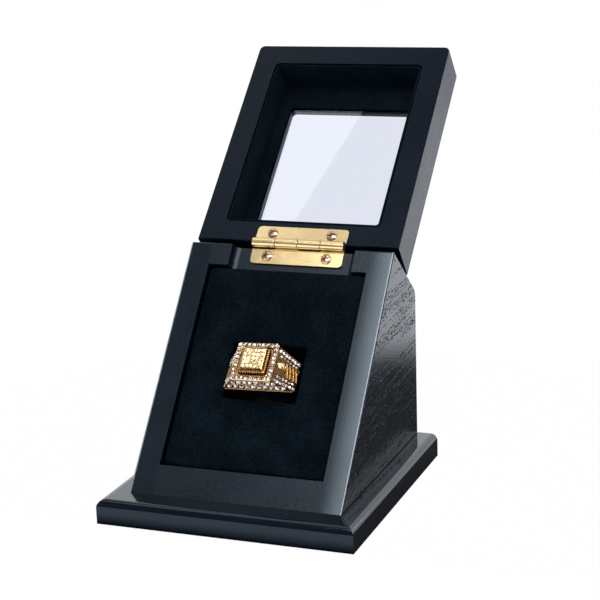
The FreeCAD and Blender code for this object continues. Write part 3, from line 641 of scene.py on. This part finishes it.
def make_flanks():
    """Two rows of oval stones on each flank, between a top and a bottom rail, with beads between."""
    stones = bmesh.new()
    work = bmesh.new()
    rails = bmesh.new()
    bars = ((work, 0.0, 0.5, 0.42), (rails, 0.45, 0.22, 0.22), (rails, 0.95, 0.45, 0.30))
    for side in (-1, 1):
        out = flank_normal(side)
        for row, (share, count) in enumerate(((0.24, 8), (0.66, 10))):
            reach = flank_reach(share) - 1.15
            pitch = 2 * reach / (count - 1)
            for i in range(count):
                x = -reach + i * pitch
                lean = out + Vector((0.12 * ((i * 3 + row) % 5 - 2), 0, 0.10 * ((i * 7 + row) % 5 - 2)))
                add_brilliant(stones, seat(flank_point(side, x, share), lean, 0, UP), 0.84, 0.62, 1.42)
                if i < count - 1:
                    for up_or_down in (-0.13, 0.13):
                        spot = flank_point(side, x + pitch / 2, share + up_or_down)
                        add_bead(work, seat(spot, out), 0.27, 1.5)
        for target, share, width, height in bars:
            reach = flank_reach(share) - 0.25
            run = [flank_point(side, reach * (k / 9 - 1), share) for k in range(19)]
            add_bar(target, run, out, width, height)
    make_piece("ring_gallery_cut_stones", stones, RING_FRAME, WHITE_STONE, "case",
               ["ring_gallery_stones"])
    make_piece("ring_gallery_work", work, RING_FRAME, GOLD, "case", (), 40)
    make_piece("ring_gallery_rails", rails, RING_FRAME, SHADED_GOLD, "case", (), 40)


SHOULDER_RUN = Vector((5.6, 0, -8.4)).normalized()
SHOULDER_LENGTH = 10.1


def shoulder_point(side, along, across):
    """A point on a shoulder's top: along from the neck, across as a share of its half width."""
    half = 6.7 - 1.4 * along / SHOULDER_LENGTH
    spot = Vector((7.0, across * half, NECK_HEIGHT)) + SHOULDER_RUN * along
    return Vector((side * spot.x, spot.y, spot.z))


def shoulder_normal(side):
    return Vector((side * 8.4, 0, 5.6)).normalized()


def add_shoulder_stones(stones, work, side):
    """Two rows of stones along each edge of a shoulder, with a bead after each stone."""
    out = shoulder_normal(side)
    down = Vector((side * SHOULDER_RUN.x, 0, SHOULDER_RUN.z))
    pitch = 1.36
    for across, size, start, count in ((0.86, 0.64, 0.9, 7), (0.58, 0.52, 1.6, 6)):
        for flank in (-1, 1):
            for i in range(count):
                along = start + i * pitch
                lean = out + Vector((0, 0.12 * ((i * 3 + flank) % 5 - 2), 0.1 * ((i * 7) % 5 - 2)))
                spot = shoulder_point(side, along, flank * across)
                add_brilliant(stones, seat(spot, lean, 11 * i, down), size, 0.5)
                bead = shoulder_point(side, along + pitch / 2, flank * across)
                add_bead(work, seat(bead, out), 0.2, 1.8)


def add_shoulder_oval(ovals, work, lattice, side):
    """The oval stone by the head, in a rim and a ring of beads."""
    out = shoulder_normal(side)
    down = Vector((side * SHOULDER_RUN.x, 0, SHOULDER_RUN.z))
    place = seat(shoulder_point(side, 2.3, 0.10), out, 0, down)
    add_brilliant(ovals, place, 1.05, 0.75, 1.45)
    rim = [place @ point for point in around(20, 1.2, stretch=1.4)]
    add_bar(work, rim + rim[:1], out, 0.3, 0.5)
    for spot in around(12, 1.75, stretch=2.2 / 1.75):
        add_bead(lattice, seat(place @ spot, out), 0.28, 1.4)


def add_lattice(work, lattice, side):
    """Rails along the shoulder, and crossed bars between the inner two with a bead on each crossing."""
    out = shoulder_normal(side)
    bars = ((-0.99, 0.2, 0.3), (0.99, 0.2, 0.3), (-0.42, 0.28, 0.45), (0.42, 0.28, 0.45))
    for across, width, height in bars:
        run = [shoulder_point(side, 0.3 + 0.96 * k, across) for k in range(11)]
        add_bar(lattice, run, out, width, height)
    pitch = 1.35
    for i in range(4):
        along = 4.3 + pitch * i
        for slant in (-1, 1):
            start = shoulder_point(side, along, -0.40 * slant)
            end = shoulder_point(side, along + pitch, 0.40 * slant)
            run = [start.lerp(end, k / 6) + out * 0.14 * math.sin(math.pi * k / 6) for k in range(7)]
            add_bar(lattice, run, out, 0.36, 0.34)
        add_bead(work, seat(shoulder_point(side, along + 0.68, 0), out), 0.30, 1.5)


def make_shoulders():
    """Stone rows along each shoulder's edges, an oval stone by the head, and lattice between."""
    stones = bmesh.new()
    ovals = bmesh.new()
    work = bmesh.new()
    lattice = bmesh.new()
    for side in (-1, 1):
        add_shoulder_stones(stones, work, side)
        add_shoulder_oval(ovals, work, lattice, side)
        add_lattice(work, lattice, side)
    make_piece("ring_shoulder_cut_stones", stones, RING_FRAME, WHITE_STONE, "case",
               ["ring_shoulder_stones"])
    make_piece("ring_shoulder_ovals", ovals, RING_FRAME, YELLOW_STONE, "case")
    make_piece("ring_shoulder_work", work, RING_FRAME, GOLD, "case", (), 40)
    make_piece("ring_shoulder_lattice", lattice, RING_FRAME, SHADED_GOLD, "case", (), 40)


# Hinge --------------------------------------------------------------------------------------------

PIN_X = 1.8
LEAF_HALF = 16.9
LEAF_REACH = 7.6
LEAF_CORNER = 1.5
LEAF_UNDER_PIN = 1.8
LEAF_THICK = 0.9
LEAF_EASE = 0.13
BARREL = 1.75
BARREL_ROOM = BARREL + 0.3
BORE = 0.96
KNUCKLES = 4
KNUCKLE = 2 * LEAF_HALF / KNUCKLES
KNUCKLE_GAP = 0.14
PLATE_GAP = 0.24
PIN_ON_FACE = (95.35, -1.70)
PIN_IN_LID = (-1.75, 1.80)
SCREW_SPREAD = 10.95
HEAD_RADIUS = 1.83
HEAD_HEIGHT = 0.82
CROSS_DEPTH = 0.68
CROSS_REACH = 1.16
CROSS_HALF_WIDTH = 0.34


def knuckle_span(i, gap):
    """Where knuckle i starts and ends along the pin, with gap between neighbours."""
    start = PIN_X - LEAF_HALF + i * KNUCKLE
    last = KNUCKLES - 1
    return start + (gap / 2 if i else 0.0), start + KNUCKLE - (gap / 2 if i < last else 0.0)


def leaf_outline(own):
    """A leaf seen flat, with the pin's line at y = 0 and the leaf running up from it."""
    points = []
    for i in range(KNUCKLES):
        edge = 0.8 if i % 2 == own else BARREL_ROOM
        points += [(x, edge) for x in knuckle_span(i, PLATE_GAP)]
    reach = LEAF_HALF - LEAF_CORNER
    for cx, start in ((PIN_X + reach, 0), (PIN_X - reach, 90)):
        for k in range(9):
            angle = math.radians(start + 90 * k / 8)
            y = LEAF_REACH - LEAF_CORNER + LEAF_CORNER * math.sin(angle)
            points.append((cx + LEAF_CORNER * math.cos(angle), y))
    return points


def add_barrel(bm, place, start, end):
    """A rolled knuckle: a tube along X with eased ends."""
    ends = ((0.0, BORE), (0.0, BARREL - 0.22), (0.07, BARREL - 0.07), (0.22, BARREL))
    profile = [(start + inset, r) for inset, r in ends]
    profile += [(end - inset, r) for inset, r in reversed(ends)]
    loops = [[Vector((x, point.x, point.y)) for point in around(48, r)] for x, r in profile]
    loft(bm, moved(place, loops), close_ring=True)


def make_leaf(name, node, body, frame_place, to_pin, own):
    """A plate with eased edges and its two rolled knuckles; to_pin puts the pin's line on X."""
    bm = bmesh.new()
    outline = leaf_outline(own)
    levels = (-LEAF_UNDER_PIN, LEAF_THICK - LEAF_UNDER_PIN)
    faces = moved(to_pin, [[Vector((x, y, z)) for x, y in outline] for z in levels])
    loft(bm, faces, cap_first=True, cap_last=True)
    rim = [e for e in bm.edges if len(e.link_faces) == 2 and e.calc_face_angle(0) > math.radians(40)]
    bmesh.ops.bevel(
        bm, geom=rim, offset=LEAF_EASE, segments=3, profile=0.5, affect="EDGES", clamp_overlap=True
    )
    for i in (own, own + 2):
        add_barrel(bm, to_pin, *knuckle_span(i, KNUCKLE_GAP))
    make_piece(name, bm, frame_place, BRASS, body, [node], 12)


def head_height(x, y):
    """The top of a pan head with a cross recess."""
    share = math.hypot(x, y) / HEAD_RADIUS
    dome = HEAD_HEIGHT * (1.0 - 0.30 * share ** 2 - 0.30 * max(0.0, share - 0.7) / 0.3)
    longest, shortest = max(abs(x), abs(y)), min(abs(x), abs(y))
    in_reach = min(1.0, max(0.0, (CROSS_REACH - longest) / 0.12))
    in_width = min(1.0, max(0.0, (CROSS_HALF_WIDTH - shortest) / 0.08))
    return dome - CROSS_DEPTH * in_reach * in_width


def add_screw(bm, place):
    """A pan-head screw with a plain shank, its head's underside at z = 0."""
    shank = ((0.2, -6.5), (0.8, -4.9), (0.8, 0.0), (HEAD_RADIUS - 0.05, 0.0), (HEAD_RADIUS, 0.06))
    loops = [around(64, r, z) for r, z in shank]
    for step in range(22, 0, -1):
        ring = around(64, HEAD_RADIUS * step / 22)
        loops.append([Vector((point.x, point.y, head_height(point.x, point.y))) for point in ring])
    loft(bm, moved(place, loops), cap_first=True, cap_last=True)


def make_screws(name, node, body, frame_place, y, z, turns):
    bm = bmesh.new()
    for side, turn in zip((-1, 1), turns):
        spot = Matrix.Translation((PIN_X + side * SCREW_SPREAD, y, z))
        add_screw(bm, spot @ Matrix.Rotation(math.radians(turn), 4, "Z"))
    make_piece(name, bm, frame_place, SCREW_BRASS, body, [node], 35)


def make_hinge():
    face_pin = Matrix.Translation((0, *PIN_ON_FACE)) @ Matrix.Diagonal((1, -1, 1, 1))
    lid_pin = Matrix.Translation((0, *PIN_IN_LID))
    make_leaf("body_leaf_plate", "body_hinge_leaf", "case", FACE_FRAME, face_pin, 1)
    make_leaf("lid_leaf_plate", "lid_hinge_leaf", "lid", LID_FRAME, lid_pin, 0)
    make_screws("body_leaf_heads", "body_leaf_screws", "case", FACE_FRAME, 90.6, -2.6, (20, 10))
    make_screws("lid_leaf_heads", "lid_leaf_screws", "lid", LID_FRAME, 3.0, 0.9, (35, 15))


# Soft pieces --------------------------------------------------------------------------------------

PAD_HALF = 28.8
PAD_BOTTOM = 10.8
PAD_TOP = 85.0
PAD_FACE = -1.0
PAD_BACK = -23.9
SLOT_HALF = 13.2
SLOT_LOW = 36.7
SLOT_HIGH = 56.8
SLOT_FLOOR = -23.6
LEAN_IN = math.tan(math.radians(FACE_SLOPE))
PAD_STEPS = {"corner_steps": 5, "side_steps": 30}


def pad_profile():
    """Levels of the pad from its back to its face: (depth, how far the edge is drawn in, corner radius)."""
    return (
        (PAD_BACK, 0.0, 1.2), (-20.0, 0.0, 1.2), (-16.0, 0.0, 1.2), (-12.0, 0.0, 1.2), (-9.0, 0.0, 1.3),
        (-6.5, 0.0, 1.4), (-4.5, 0.0, 1.5), (-3.2, 0.02, 1.6), (-2.4, 0.08, 1.7), (-1.8, 0.25, 1.8),
        (-1.35, 0.55, 1.9), (-1.08, 1.0, 2.0), (PAD_FACE, 1.7, 2.1),
    )


def pad_start():
    """The pad as an evenly divided closed shell with its slot, before it is swollen."""
    bm = bmesh.new()
    outers = []
    inners = []
    for z, draw, radius in pad_profile():
        low = max(PAD_BOTTOM, (-z) / LEAN_IN + 0.5)
        half = PAD_HALF - draw
        outers.append(rounded_loop(-half, half, low + draw, PAD_TOP - draw, radius, z, **PAD_STEPS))
        roll = draw * 0.45
        half = SLOT_HALF + roll
        depth = max(z, SLOT_FLOOR)
        inners.append(
            rounded_loop(-half, half, SLOT_LOW - roll, SLOT_HIGH + roll, 0.5 + roll, depth, **PAD_STEPS)
        )
    between = [[a.lerp(b, k / 12) for a, b in zip(outers[-1], inners[-1])] for k in range(1, 12)]
    loft(bm, outers + between + list(reversed(inners)), cap_first=True, cap_last=True)
    bmesh.ops.recalc_face_normals(bm, faces=bm.faces)
    mesh = bpy.data.meshes.new("velvet_cushion")
    bm.to_mesh(mesh)
    bm.free()
    return mesh


# The mesh in millimetres is scaled by this for the simulation: 3 times larger than life, which is steadier.
CLOTH_SCALE = 0.003
CLOTH_PRESSURE = 4.0
CLOTH_FRAMES = 20


def swell(piece):
    """How far cloth pressure lifts each point of the pad's face; its sides and slot walls are held."""
    mesh = piece.data
    held = piece.vertex_groups.new(name="held")
    for v in mesh.vertices:
        x, y, z = v.co
        v.co *= CLOTH_SCALE
        edge = min(PAD_HALF - abs(x), y - PAD_BOTTOM, PAD_TOP - y)
        slot = max(abs(x) - SLOT_HALF, SLOT_LOW - y, y - SLOT_HIGH)
        free = z > PAD_FACE - 0.05 and edge > 1.8 and slot > 1.0
        held.add([v.index], 0.0 if free else 1.0, "REPLACE")
    cloth = piece.modifiers.new("cloth", "CLOTH")
    cloth.settings.vertex_group_mass = "held"
    cloth.settings.use_pressure = True
    cloth.settings.uniform_pressure_force = CLOTH_PRESSURE
    cloth.settings.effector_weights.gravity = 0.0
    cloth.point_cache.frame_start, cloth.point_cache.frame_end = 1, CLOTH_FRAMES
    for number in range(1, CLOTH_FRAMES + 1):
        bpy.context.scene.frame_set(number)
    done = piece.evaluated_get(bpy.context.evaluated_depsgraph_get()).data
    lifts = []
    for after, before in zip(done.vertices, mesh.vertices):
        lifts.append(max(0.0, after.co.z - before.co.z) / CLOTH_SCALE)
    for v in mesh.vertices:
        v.co /= CLOTH_SCALE
    piece.modifiers.remove(cloth)
    piece.vertex_groups.remove(held)
    bpy.context.scene.frame_set(1)
    return lifts


PAD_CROWN = 0.75
PUCKER_SPOT = (-26.5, 11.5)


def make_pad():
    """The velvet cushion: swollen by cloth pressure, with a small pucker at its lower left corner."""
    mesh = pad_start()
    pad = bpy.data.objects.new("velvet_cushion", mesh)
    bpy.context.scene.collection.objects.link(pad)
    mesh.materials.append(VELVET)
    lifts = swell(pad)
    scale = PAD_CROWN / max(lifts)
    for v, lift in zip(mesh.vertices, lifts):
        x, y, z = v.co
        v.co.z += scale * lift
        pucker = math.exp(-(((x - PUCKER_SPOT[0]) / 1.8) ** 2 + ((y - PUCKER_SPOT[1]) / 1.2) ** 2))
        if z > -4.0:
            v.co.y += 0.55 * pucker
            v.co.z -= 0.35 * pucker
    smooth = pad.modifiers.new("round", "SUBSURF")
    smooth.levels = smooth.render_levels = 1
    mesh.shade_smooth()
    mesh.transform(FACE_FRAME)
    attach(pad, "case")
    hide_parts("velvet_pad")


CAVITY = (-29.0, 29.0, 8.2, 81.4)
CAVITY_RADIUS = 2.0
WINDOW = (-23.8, 23.8, 16.9, 69.8)
WINDOW_RADIUS = 2.0
MAT_FACE = -12.1
MAT_BACK = -12.9


def inset_loops(rectangle, radius, profile):
    """Rounded rectangles, each drawn in by an inset, at depth z."""
    x0, x1, y0, y1 = rectangle
    loops = []
    for inset, z in profile:
        left, right, low, high = x0 + inset, x1 - inset, y0 + inset, y1 - inset
        corner = max(radius - inset, 0.15)
        loops.append(rounded_loop(left, right, low, high, corner, z, corner_steps=8, side_steps=24))
    return loops


def make_liner():
    """The flocked liner of the lid's hollow.

    It is a wall with a rounded lip, and a floor with a rolled edge round the window.
    """
    wall = bmesh.new()
    profile = (
        (0.35, MAT_FACE), (0.35, -6.0), (0.35, -0.6), (0.42, -0.34), (0.60, -0.2), (0.92, -0.2),
        (1.12, -0.34), (1.2, -0.6), (1.24, -2.0), (1.22, -6.0), (1.2, -9.5), (1.3, -11.2), (1.6, -12.05),
        (1.6, MAT_FACE),
    )
    loft(wall, inset_loops(CAVITY, CAVITY_RADIUS + 0.2, profile), close_ring=True)
    make_piece("lid_liner_walls", wall, LID_FRAME, LINER, "lid",
               ["lid_liner_left", "lid_liner_right", "lid_liner_hinge", "lid_liner_top"], 45)
    floor = bmesh.new()
    outer = inset_loops(CAVITY, CAVITY_RADIUS, ((0.05, MAT_BACK), (0.05, MAT_FACE)))
    inner = inset_loops(WINDOW, WINDOW_RADIUS, (
        (-0.9, MAT_FACE), (-0.45, -12.06), (-0.22, -12.0), (-0.08, -12.06), (0.0, -12.25), (0.0, MAT_BACK),
        (-0.9, MAT_BACK),
    ))
    loft(floor, outer + inner, close_ring=True)
    make_piece("lid_liner_floor", floor, LID_FRAME, LINER, "lid", ["lid_liner_mat"], 45)


def soften_band():
    """A small bevel on the ring's band, as modifiers: the CAD mesh stays as it is."""
    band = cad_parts["ring_band"]
    weld = band.modifiers.new("weld", "WELD")
    weld.merge_threshold = 0.000002
    bevel = band.modifiers.new("edge", "BEVEL")
    bevel.width = 0.22 * MM
    bevel.segments = 2
    bevel.limit_method = "ANGLE"
    bevel.angle_limit = math.radians(40)
    bevel.harden_normals = True


# Stage --------------------------------------------------------------------------------------------

ROOM_DIM = 0.18
ROOM_BRIGHT = 1.65
SWEEP_GLOW = 0.72
FLOOR_HALF = 3.0
FLOOR_DROP = 0.00005


def floor_paint():
    """Pale floor: even white, as a lit sweep is, when seen directly or through the glass.

    In reflections it has a painted shadow, dark near the case, with a bright strip in front and a glowing
    sweep far away.
    """
    p = Paint("floor")
    grain = p.noise(p.place(), 900.0, 2.0)
    spread = p.add("ShaderNodeVectorMath", {"operation": "LENGTH"}, i0=p.place()).outputs["Value"]
    depth = p.split(p.place())["Y"]
    far = p.math("MAXIMUM", p.ramp(spread, 0.170, 0.218), p.ramp(depth, -0.048, -0.056, 0.0, 0.85))
    # Painted shadow: the dark tone near the case, which only reflections see
    near = p.mix(grain, rgb(0.010, 0.010, 0.012), rgb(0.014, 0.014, 0.016))
    p.set(Base_Color=p.mix(far, near, rgb(0.80, 0.80, 0.82)), Roughness=0.9)
    p.set(Emission_Color=rgb(0.86, 0.90, 1.0), Emission_Strength=p.product(far, SWEEP_GLOW))
    path = p.add("ShaderNodeLightPath")
    seen = p.math("MAXIMUM", path.outputs["Is Camera Ray"], path.outputs["Is Transmission Ray"])
    white = p.add("ShaderNodeEmission", None, Color=rgb(1, 1, 1), Strength=1.0).outputs[0]
    both = p.add("ShaderNodeMixShader", None, i0=p.product(seen, 0.995), i1=p.shader.outputs[0], i2=white)
    p.tree.links.new(both.outputs[0], p.output.inputs[0])
    return p.material


def make_floor():
    mesh = bpy.data.meshes.new("floor")
    h = FLOOR_HALF
    mesh.from_pydata([(-h, -h, 0), (h, -h, 0), (h, h, 0), (-h, h, 0)], [], [(0, 1, 2, 3)])
    floor = bpy.data.objects.new("floor", mesh)
    floor.location.z = -FLOOR_DROP
    bpy.context.scene.collection.objects.link(floor)
    mesh.materials.append(floor_paint())


def make_world():
    """An even white room seen directly; in reflections it is a dim room with a bright sweep behind."""
    world = bpy.data.worlds.new("studio")
    bpy.context.scene.world = world
    world.use_nodes = True
    tree = world.node_tree
    back = next(n for n in tree.nodes if n.type == "BACKGROUND")
    add = tree.nodes.new
    link = tree.links.new
    path = add("ShaderNodeLightPath")
    seen = add("ShaderNodeMath")
    seen.operation = "MAXIMUM"
    link(path.outputs["Is Camera Ray"], seen.inputs[0])
    link(path.outputs["Is Transmission Ray"], seen.inputs[1])
    split = add("ShaderNodeSeparateXYZ")
    link(add("ShaderNodeTexCoord").outputs["Generated"], split.inputs[0])
    sweep = add("ShaderNodeMapRange")
    sweep.interpolation_type = "SMOOTHSTEP"
    link(split.outputs["Y"], sweep.inputs["Value"])
    limits = {"From Min": 0.15, "From Max": 0.85, "To Min": ROOM_DIM, "To Max": ROOM_BRIGHT}
    for key, number in limits.items():
        sweep.inputs[key].default_value = number
    strength = add("ShaderNodeMix")
    link(seen.outputs[0], strength.inputs[0])
    link(sweep.outputs["Result"], strength.inputs[2])
    strength.inputs[3].default_value = 1.02
    link(strength.outputs[0], back.inputs["Strength"])
    back.inputs["Color"].default_value = rgb(0.97, 0.985, 1.0)


def soft_box(name, place, aim, size, power, turn=0.0):
    """A rectangular area light at place, facing aim, turned about its own axis."""
    data = bpy.data.lights.new(name, "AREA")
    data.shape = "RECTANGLE"
    data.size, data.size_y = size
    data.energy = power
    light = bpy.data.objects.new(name, data)
    bpy.context.scene.collection.objects.link(light)
    facing = (Vector(aim) - Vector(place)).to_track_quat("-Z", "Y").to_matrix().to_4x4()
    light.matrix_world = Matrix.Translation(place) @ facing @ Matrix.Rotation(math.radians(turn), 4, "Z")


def make_lights():
    case = (0, 0, 0.05)
    soft_box("key", (0.085, -0.43, 0.80), case, (0.64, 0.60), 5.9)
    soft_box("overhead", (-0.41, 0.051, 0.95), (-0.41, 0.051, 0), (0.25, 0.50), 0.56, -32.9)
    soft_box("edge_light", (0.55, -0.30, 0.74), case, (0.12, 0.20), 1.6)
    soft_box("front", (0.12, -0.95, 0.05), case, (0.40, 0.10), 0.15)
    soft_box("glint_left", (-0.50, -0.62, 0.50), case, (0.06, 0.06), 0.4)
    soft_box("behind", (0.62, 0.80, 0.50), (0, 0.03, 0.06), (0.40, 0.40), 3.0)


make_camera()
paint_nodes()
soften_band()
make_head()
make_crown()
make_centre_stones()
make_halo()
make_flanks()
make_shoulders()
make_hinge()
make_pad()
make_liner()
make_floor()
make_world()
make_lights()
bpy.context.scene.view_settings.view_transform = "Standard"
